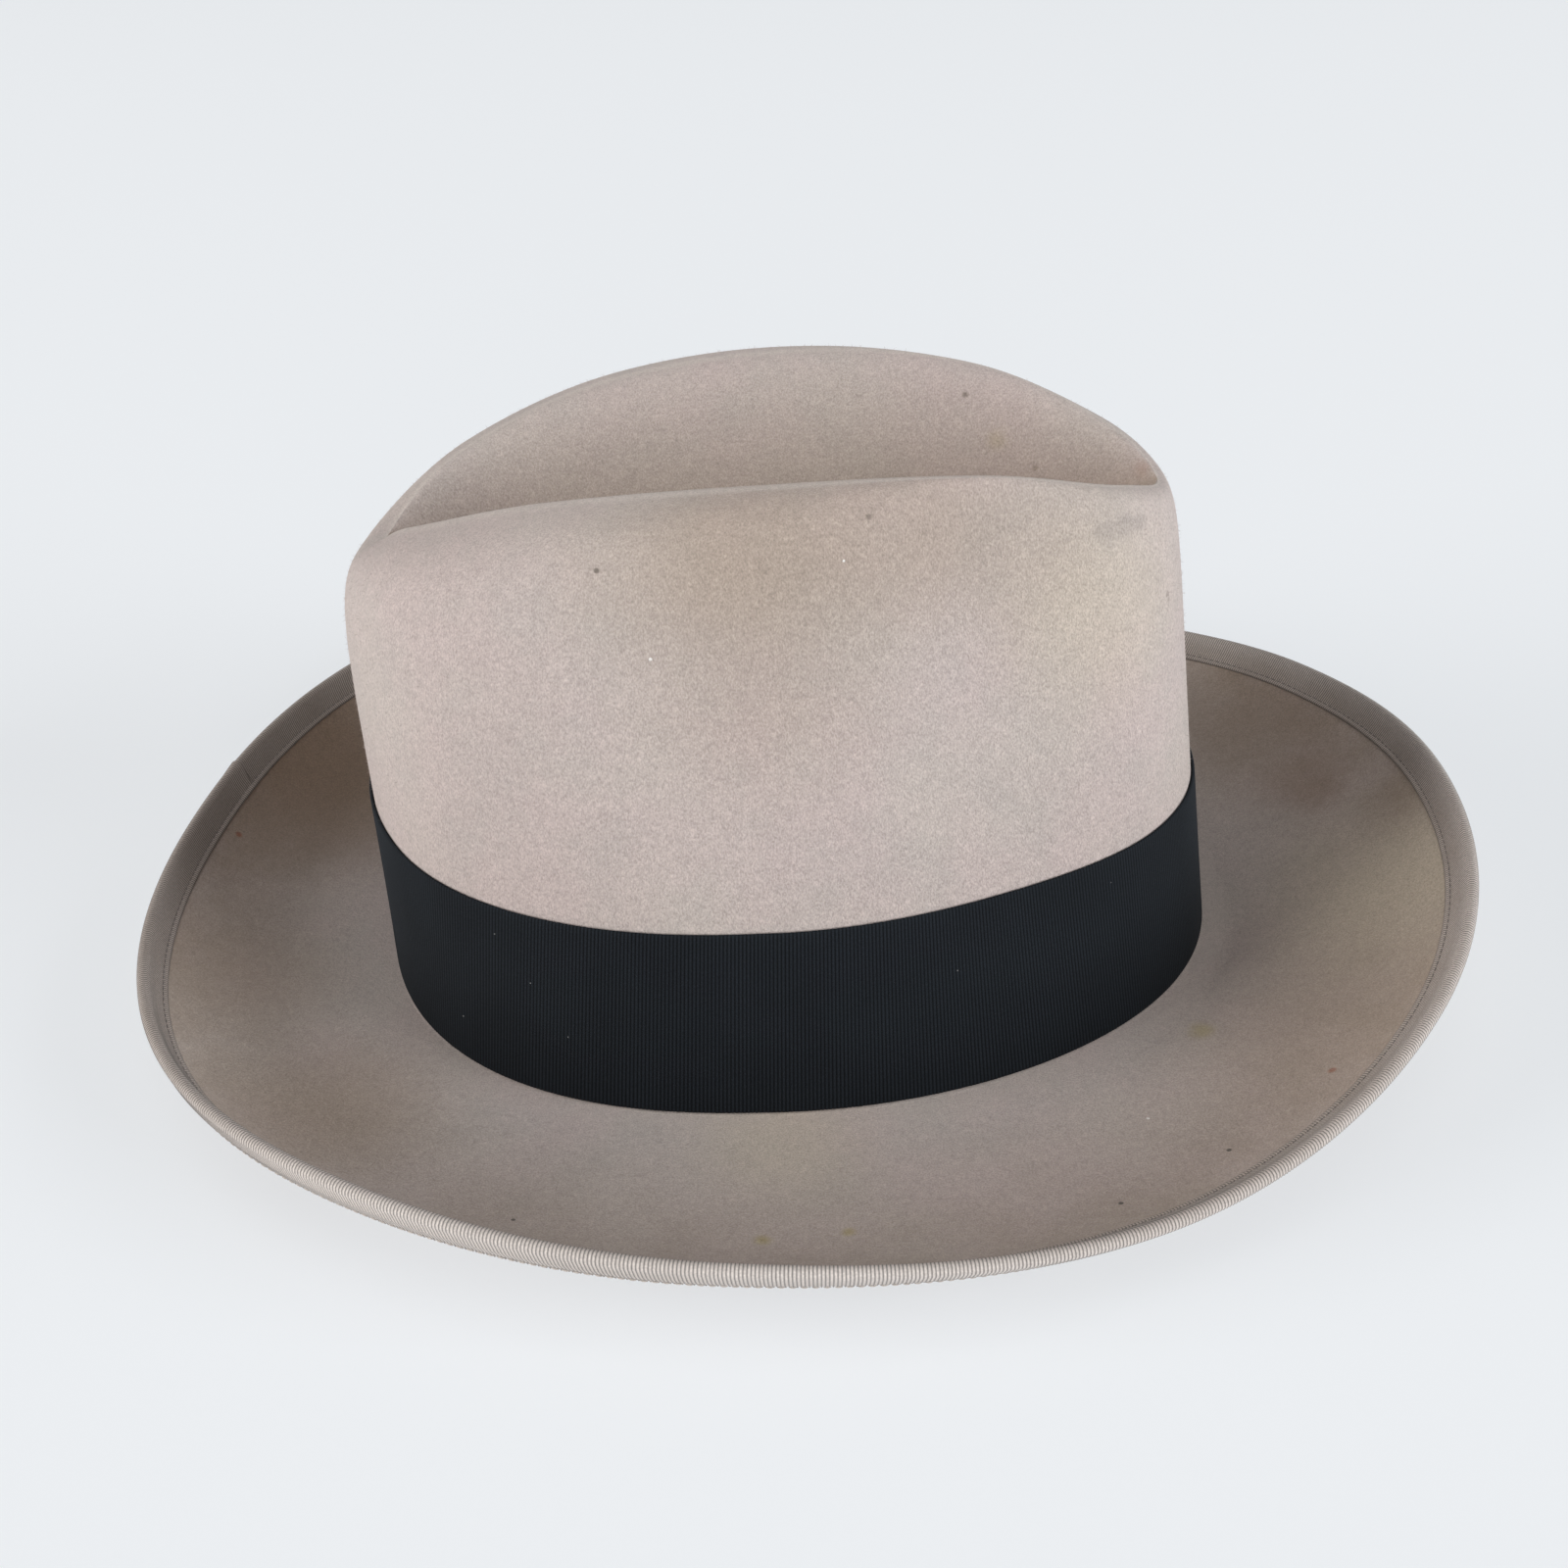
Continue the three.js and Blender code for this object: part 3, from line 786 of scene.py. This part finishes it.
def ribbon_mesh(name, place, across, rib_share, closed=True):
    """Ribbon from rows of points round its section, with the ribs' attributes and its own map."""
    rows, columns = place.shape[:2]
    spans = columns if closed else columns - 1
    here = np.arange(spans)
    after = (here + 1) % columns
    faces = []
    corners = []
    for row in range(rows):
        low = row * columns
        high = (row + 1) % rows * columns
        faces.append(np.stack([low + here, low + after, high + after, high + here], 1))
        above = (row + 1) % rows
        left = here / rib_columns
        right = (here + 1) / rib_columns
        foot = np.full(spans, across[row])
        head = np.full(spans, across[above])
        corners.append(np.stack([left, foot, right, foot, right, head, left, head], 1))
    faces = np.concatenate(faces).tolist()
    corners = np.concatenate(corners).reshape(-1, 2)
    if not closed:
        faces.append((np.arange(rows) * columns).tolist())
        faces.append((np.arange(rows)[::-1] * columns + columns - 1).tolist())
        ends = np.zeros((2 * rows, 2))
        ends[:, 1] = np.concatenate([across, across[::-1]])
        corners = np.concatenate([corners, ends])
    mesh = closed_mesh(name, place, faces)
    layer = mesh.uv_layers.new(name="weave")
    layer.uv.foreach_set("vector", np.ascontiguousarray(corners, np.float32).ravel())
    phase = np.repeat((np.arange(columns) / rib_columns)[None], rows, 0)
    point_attribute(mesh, "rib_phase", phase)
    point_attribute(mesh, "rib_share", rib_share + 0 * phase)
    return mesh


def rib_tree():
    """Raises rounded ribs on a ribbon: one for each whole step of its rib_phase."""
    tree, inputs, outputs = geometry_tree("ribbon_ribs", [
        ("Rib Height", "Float"), ("Material", "Material")])
    turn = product(tree, math_node(tree, "FRACT", mesh_share(tree, "rib_phase")), math.pi)
    height = product(tree, math_node(tree, "SINE", turn), mesh_share(tree, "rib_share"))
    height = product(tree, height, inputs.outputs["Rib Height"])
    normal = tree.nodes.new("GeometryNodeInputNormal")
    offset = vector_math(tree, "SCALE", {0: normal.outputs["Normal"], "Scale": height})
    raised = node(tree, "GeometryNodeSetPosition", {
        "Geometry": inputs.outputs["Geometry"], "Offset": offset["Vector"]})
    finish_tree(tree, inputs, outputs, raised.outputs["Geometry"])
    return tree


def ribbon_finish(name, colour, shadow, valley_shade, roughness, gloss, sheen, dust):
    """Grosgrain: it is painted darker between its ribs as shade, and fine threads run over them. It is
    paler on the bead and underneath as a painted highlight together with rubbed wear, and brown where
    soiled is 1. It is darker along its first edge as dirt together with painted shade, with a few specks
    of dust all over."""
    material, tree, shader = new_material(name)
    place = tree.nodes.new("ShaderNodeTexCoord").outputs["Object"]
    weave = node(tree, "ShaderNodeUVMap", {}, uv_map="weave")
    split = node(tree, "ShaderNodeSeparateXYZ", {0: weave.outputs["UV"]})
    turn = product(tree, math_node(tree, "FRACT", split.outputs["X"]), math.pi)
    crown = math_node(tree, "SINE", turn)
    thread = product(tree, split.outputs["Y"], 2 * math.pi / warp_pitch)
    thread = math_node(tree, "SINE", thread)
    wear = noise(tree, place, scale=60, detail=3)
    lint = noise(tree, place, scale=2600, detail=2, roughness=0.6)
    mixed = tint(tree, ramp(tree, wear, 0.35, 0.7, 0, 0.6), colour, shadow)
    # Paler on the bead and underneath: a painted highlight together with rubbed wear.
    mixed = tint(tree, painted_share(tree, "worn_and_lit"), mixed, rubbed_and_lit_thread)
    mixed = tint(tree, painted_share(tree, "soiled"), mixed, soiled_thread)
    # Darker between the ribs than on their tops: painted shade, with a slight painted highlight on the
    # tops.
    depth = ramp(tree, crown, 0.2, 0.95, valley_shade, 1.1)
    fine = ramp(tree, thread, -1, 1, 0.93, 1.05)
    shade = product(tree, depth, fine)
    # Darker along the first edge, where the ribbon meets the felt: dirt together with painted shade.
    grime_and_shade = ramp(tree, split.outputs["Y"], grime_and_shade_from, grime_and_shade_to, 0.5, 1)
    shade = product(tree, shade, grime_and_shade)
    shade = product(tree, shade, ramp(tree, lint, 0.3, 0.7, 0.82, 1.16))
    grey = node(tree, "ShaderNodeCombineColor", {0: shade, 1: shade, 2: shade})
    mixed = tint(tree, 1.0, mixed, grey.outputs[0], "MULTIPLY")
    specks = node(tree, "ShaderNodeTexVoronoi", {"Vector": place, "Scale": 130.0})
    dusty = ramp(tree, specks.outputs["Distance"], 0.012, 0.03, dust, 0)
    mixed = tint(tree, dusty, mixed, dust_grey)
    relief = math_node(tree, "ADD", product(tree, thread, 0.3), lint)
    dress_shader(tree, shader, mixed, relief, strength=0.4, distance=0.0001, values={
        "Roughness": roughness, "Specular IOR Level": gloss, "Sheen Weight": sheen,
        "Sheen Roughness": 0.4})
    return material


def section_column(rows, name):
    return np.array([row[name] for row in rows])[:, None]


ribs_tree = rib_tree()
band_material = ribbon_finish(
    "black_grosgrain", (0.0135, 0.017, 0.0215, 1), (0.0105, 0.013, 0.0165, 1), valley_shade=0.3,
    roughness=0.75, gloss=0.08, sheen=0.03, dust=0.4)
band_theta = even_angles(
    lambda theta: band_points(theta, 0 * theta + band_width / 2, 0 * theta), band_rib_pitch, band_start)
band_angles = np.repeat(band_theta[None], len(band_section), 0)
band_up = section_column(band_section, "up") * band_width + band_foot + 0 * band_angles
band_lift = section_column(band_section, "lift") * band_thickness + ribbon_gap + 0 * band_angles
band_mesh = ribbon_mesh("hat_band_finish", band_points(band_angles, band_up, band_lift),
                        band_up[:, 0], section_column(band_section, "rib"))
band = grow(ribs_tree, band_mesh, "hat_band_finish", {
    "Rib Height": band_rib_height, "Material": band_material})
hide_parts("hat_band")

# Lapped end of the band
# The ribbon's end is turned under and laid flat over its beginning on the wearer's left side,
# which the photograph doesn't show, and is held by a few tacks of black thread.
lap_columns = 38
lap_start = band_start - math.radians(5)
lap_lift = 0.00085
lap_foot = 0.00015
lap_edge_columns = 4
lap_edge_thickness = 0.35

# The lap's ribs are as far apart as the band's: the length of a small angle gives their angle.
small_angle = 0.01
near_pair = band_points(
    lap_start + np.array([0, small_angle]), np.full(2, band_width / 2), np.zeros(2))
lap_step = small_angle * band_rib_pitch / rib_columns / np.linalg.norm(near_pair[1] - near_pair[0])
lap_angles = np.repeat((lap_start + np.arange(lap_columns) * lap_step)[None], len(band_section), 0)
lap_rise = np.clip(np.arange(lap_columns) / lap_edge_columns, 0, 1)
lap_thickness = band_thickness * (lap_edge_thickness + (1 - lap_edge_thickness) * lap_rise)
lap_rows = lap_lift + section_column(band_section, "lift") * lap_thickness
lap_up = section_column(band_section, "up") * (band_width + band_foot) + lap_foot + 0 * lap_angles
lap_mesh = ribbon_mesh("band_lapped_end", band_points(lap_angles, lap_up, lap_rows), lap_up[:, 0],
                       section_column(band_section, "rib"), closed=False)
grow(ribs_tree, lap_mesh, "band_lapped_end", {
    "Rib Height": band_rib_height, "Material": band_material})


def stitch_tree():
    """Lays short rounded stitches end to end along a guide line."""
    tree, inputs, outputs = geometry_tree("thread_stitches", [
        ("Count", "Int"), ("Length", "Float"), ("Thickness", "Float"), ("Material", "Material")])
    line = node(tree, "GeometryNodeMeshToCurve", {"Mesh": inputs.outputs["Geometry"]})
    even = node(tree, "GeometryNodeResampleCurve", {
        "Curve": line.outputs["Curve"], "Count": inputs.outputs["Count"]})
    tangent = tree.nodes.new("GeometryNodeInputTangent")
    turned = node(tree, "FunctionNodeAlignRotationToVector", {
        "Vector": tangent.outputs["Tangent"]}, axis="X")
    bead = node(tree, "GeometryNodeMeshUVSphere", {"Segments": 6, "Rings": 4, "Radius": 0.5})
    scale = node(tree, "ShaderNodeCombineXYZ", {
        0: inputs.outputs["Length"], 1: inputs.outputs["Thickness"], 2: inputs.outputs["Thickness"]})
    made = node(tree, "GeometryNodeInstanceOnPoints", {
        "Points": even.outputs["Curve"], "Instance": bead.outputs["Mesh"],
        "Rotation": turned.outputs["Rotation"], "Scale": scale.outputs[0]})
    whole = node(tree, "GeometryNodeRealizeInstances", {"Geometry": made.outputs["Instances"]})
    smooth = node(tree, "GeometryNodeSetShadeSmooth", {"Geometry": whole.outputs["Geometry"]})
    finish_tree(tree, inputs, outputs, smooth.outputs["Geometry"])
    return tree


def guide_line(name, place, closed):
    mesh = bpy.data.meshes.new(name)
    count = len(place)
    spans = count if closed else count - 1
    mesh.from_pydata(place.tolist(), [(index, (index + 1) % count) for index in range(spans)], [])
    return mesh


def thread_finish(name, colour, shadow):
    """Spun thread: darker between its strands, with a fine fuzz."""
    material, tree, shader = new_material(name)
    place = tree.nodes.new("ShaderNodeTexCoord").outputs["Object"]
    strands = noise(tree, place, scale=3500, detail=2, roughness=0.6)
    mixed = tint(tree, ramp(tree, strands, 0.35, 0.65), shadow, colour)
    dress_shader(tree, shader, mixed, strands, strength=0.5, distance=0.00008, values={
        "Roughness": 0.7, "Specular IOR Level": 0.2})
    return material


stitches_tree = stitch_tree()
black_thread = thread_finish("black_thread", (0.014, 0.016, 0.019, 1), (0.005, 0.006, 0.007, 1))
tack_count = 7
tack_length = 0.0022
tack_thickness = 0.0004
tack_column = 5
tack_points = 20
tack_up = np.linspace(0.1, 0.9, tack_points) * band_width
tack_angle = np.full(tack_points, lap_angles[0, tack_column])
tack_lift = np.full(tack_points, lap_lift + band_thickness + tack_thickness / 4)
tack_line = band_points(tack_angle, tack_up, tack_lift)
tack_guide = guide_line("band_tacks", tack_line, False)
grow(stitches_tree, tack_guide, "band_tacks", {
    "Count": tack_count, "Length": tack_length, "Thickness": tack_thickness,
    "Material": black_thread})

# Brim binding
# A grosgrain ribbon in the felt's colour, folded over the brim's edge. Its ribs run across it and
# round the edge, and its two ends are lapped at the back of the brim.
binding_thickness = 0.00045
binding_rib_pitch = 0.00073
binding_rib_height = 0.00019
binding_start = math.radians(173)
join_step = 0.00035
join_fade = 0.007
join_skew = 0.0012
inner_lift = 0.12
edge_radius = felt_thickness / 2 + binding_thickness
bead_steps = 6

# The binding's upper half from its inner edge to the brim's edge: distance from the inner edge in
# shares of the width, height over the felt in shares of the thickness, and the ribs' share. The
# low row is the groove that the stitches pull in. Underneath, the ribs end in a row of loops.
binding_upper = [
    dict(out=0.0, lift=0.35, rib=0.2),
    dict(out=0.02, lift=1.15, rib=0.5),
    dict(out=0.1, lift=1.4, rib=0.7),
    dict(out=0.17, lift=1.05, rib=0.5),
    dict(out=0.215, lift=0.5, rib=0.2),
    dict(out=0.27, lift=1.0, rib=0.9),
    dict(out=0.6, lift=1.0, rib=1.0),
]
binding_lower = [
    dict(out=0.0, lift=0.3, rib=0.4),
    dict(out=0.03, lift=1.0, rib=1.6),
    dict(out=0.09, lift=1.2, rib=1.8),
    dict(out=0.15, lift=0.8, rib=1.0),
    dict(out=0.2, lift=0.4, rib=0.3),
    dict(out=0.27, lift=1.0, rib=1.0),
    dict(out=0.6, lift=1.0, rib=1.0),
]
binding_inner = [
    dict(out=0.004, lift=inner_lift),
    dict(out=0.6, lift=inner_lift),
]

binding_theta = even_angles(
    lambda theta: brim_point(theta, brim_reach(theta), 0 * theta), binding_rib_pitch, binding_start)
binding_reach = brim_reach(binding_theta)
binding_foot = binding_reach - binding_width
binding_bead = binding_reach - edge_softness
binding_slope = brim_slope(binding_theta, binding_bead)[..., None]
binding_tangent = outward(binding_theta) * np.cos(binding_slope)
binding_tangent += points(0.0, 0.0, np.sin(binding_slope[..., 0]))
join_away = np.arange(len(binding_theta)) * binding_rib_pitch / rib_columns


def binding_row(out, lift):
    """A row at a share of the way from the binding's inner edge to the bead, and a lift in metres."""
    place = binding_foot + (binding_bead - binding_foot) * out
    return brim_point(binding_theta, place, lift + 0 * binding_theta)


def join_lift(out):
    """The lapped end lies over the other one and thins out; its cut edge runs a little askew."""
    away = join_away - join_skew * (1 - out)
    return join_step * np.where(away > 0, np.clip(1 - away / join_fade, 0, 1), 0)


def binding_layer(upper, lower, radius, steps, joined):
    above = []
    below = []
    for row in upper:
        lift = row["lift"] * binding_thickness + joined * join_lift(row["out"])
        above.append(binding_row(row["out"], lift))
    for row in lower:
        lift = row["lift"] * binding_thickness + joined * join_lift(row["out"])
        below.append(binding_row(row["out"], -felt_thickness - lift))
    bends = []
    for turn in np.linspace(0, math.pi, steps):
        size = radius + joined * join_lift(1.0)
        middle = brim_point(binding_theta, binding_bead, -felt_thickness / 2 + size * math.cos(turn))
        bends.append(middle + binding_tangent * (size * math.sin(turn))[:, None])
    return above + bends + below[::-1]


outer_radius = edge_radius + 0 * binding_theta
inner_radius = felt_thickness / 2 + inner_lift * binding_thickness + 0 * binding_theta
binding_rows = binding_layer(binding_upper, binding_lower, outer_radius, bead_steps, 1.0)
binding_rows += binding_layer(binding_inner, binding_inner, inner_radius, 3, 0.0)[::-1]
binding_place = np.array(binding_rows)
upper_ribs = [row["rib"] for row in binding_upper]
lower_ribs = [row["rib"] for row in binding_lower]
binding_share = upper_ribs + [1.0] * bead_steps + lower_ribs[::-1]
hidden_rows = len(binding_rows) - len(binding_share)
binding_share = np.array(binding_share + [0.0] * hidden_rows)[:, None]

# How far each row is made paler, the bead most: a painted highlight on the bead and underneath together
# with rubbed wear. It is less at the front and little at the back, which the hand has browned.
bead_wear_and_highlight = 0.5
by_bead_wear_and_highlight = 0.1
lower_wear_and_highlight = 0.35
hand_soil = 0.28
binding_wear_and_highlight = [0.0] * (len(upper_ribs) - 1) + [by_bead_wear_and_highlight] + [bead_wear_and_highlight] * bead_steps
binding_wear_and_highlight += [lower_wear_and_highlight] * len(lower_ribs) + [0.0] * hidden_rows
front_share = smooth_step((np.cos(binding_theta) - 0.1) / 0.5)
back_share = smooth_step((-np.cos(binding_theta) - 0.5) / 0.4)
paling_round = 1 - 0.4 * front_share - 0.8 * back_share

row_gaps = np.linalg.norm(np.diff(binding_place[:, 0], axis=0), axis=1)
binding_across = np.concatenate([[0], np.cumsum(row_gaps)])
binding_material = ribbon_finish(
    "pearl_grosgrain", (0.47, 0.41, 0.37, 1), (0.39, 0.33, 0.285, 1), valley_shade=0.34,
    roughness=0.8, gloss=0.25, sheen=0.12, dust=0.1)
binding_mesh = ribbon_mesh("brim_binding_finish", binding_place, binding_across, binding_share)
point_attribute(binding_mesh, "worn_and_lit", np.outer(binding_wear_and_highlight, paling_round))
point_attribute(binding_mesh, "soiled", np.outer(np.full(len(binding_rows), hand_soil), back_share))
binding = grow(ribs_tree, binding_mesh, "brim_binding_finish", {
    "Rib Height": binding_rib_height, "Material": binding_material})
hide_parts("brim_binding")

# Binding stitches
# A machine sewed the ribbon through the brim in its groove: short sunken stitches above and
# rounder ones below.
stitch_pitch = 0.0021
stitch_out = 0.215
upper_thread = thread_finish("upper_thread", (0.24, 0.21, 0.20, 1), (0.13, 0.115, 0.11, 1))
lower_thread = thread_finish("lower_thread", (0.55, 0.50, 0.46, 1), (0.38, 0.34, 0.31, 1))
stitch_count = round(join_away[-1] / stitch_pitch)
guide_step = 4

# Height off the brim's upper face, length as a share of the pitch, and thickness.
stitch_rows = [
    dict(name="upper_stitches", lift=binding_thickness * 0.72, length=0.7, thick=0.00026,
         thread=upper_thread),
    dict(name="lower_stitches", lift=-felt_thickness - binding_thickness * 0.95, length=0.75,
         thick=0.00045, thread=lower_thread),
]
for row in stitch_rows:
    stitch_line = binding_row(stitch_out, row["lift"])[::guide_step]
    grow(stitches_tree, guide_line(row["name"], stitch_line, True), row["name"], {
        "Count": stitch_count, "Length": stitch_pitch * row["length"],
        "Thickness": row["thick"], "Material": row["thread"]})

# Floor and light
# A plain pale table that glows a little, as under a light tent, with broad soft lights low at both
# sides and a weaker one in front.
floor_reach = 60.0
floor_drop = 0.0002
floor_corners = np.array([(-1, -1, 0), (1, -1, 0), (1, 1, 0), (-1, 1, 0)], float) * floor_reach
floor_mesh = closed_mesh("floor", floor_corners - np.array([0, 0, floor_drop]), [[0, 1, 2, 3]])
floor_material, floor_tree, floor_shader = new_material("pale_floor")
feed(floor_tree, floor_shader, {
    "Base Color": (0.38, 0.39, 0.40, 1), "Roughness": 0.7,
    "Emission Color": (0.93, 0.965, 1.0, 1), "Emission Strength": 0.53})
floor_mesh.materials.append(floor_material)
floor = bpy.data.objects.new("floor", floor_mesh)
bpy.context.scene.collection.objects.link(floor)

# Azimuth from the front of the picture and elevation, in degrees. The lights stand far off, so
# that the table is lit evenly.
light_distance = 12
light_size = 7.2
light_aim = Vector((0, 0, 0.05))
soft_lights = [
    dict(name="left_softbox", azimuth=-72, elevation=17, power=1130, colour=(1.0, 0.98, 0.96)),
    dict(name="right_softbox", azimuth=75, elevation=17, power=1190, colour=(0.95, 0.975, 1.0)),
    dict(name="front_softbox", azimuth=5, elevation=12, power=540, colour=(1.0, 0.99, 0.98)),
    dict(name="top_softbox", azimuth=0, elevation=82, power=166, colour=(1.0, 0.99, 0.98)),
]
for row in soft_lights:
    light = bpy.data.objects.new(row["name"], bpy.data.lights.new(row["name"], "AREA"))
    light.data.shape = "SQUARE"
    light.data.size = light_size
    light.data.color = row["colour"]
    light.data.energy = row["power"]
    direction = direction_to(math.radians(row["azimuth"]), math.radians(row["elevation"]))
    light.location = direction * light_distance + light_aim
    light.rotation_euler = direction.to_track_quat("Z", "Y").to_euler()
    bpy.context.scene.collection.objects.link(light)

world = bpy.data.worlds.new("pale_room")
bpy.context.scene.world = world
world.use_nodes = True
world.node_tree.nodes["Background"].inputs["Color"].default_value = (0.94, 0.93, 0.93, 1)
world.node_tree.nodes["Background"].inputs["Strength"].default_value = 0.27
bpy.context.scene.view_settings.view_transform = "Standard"
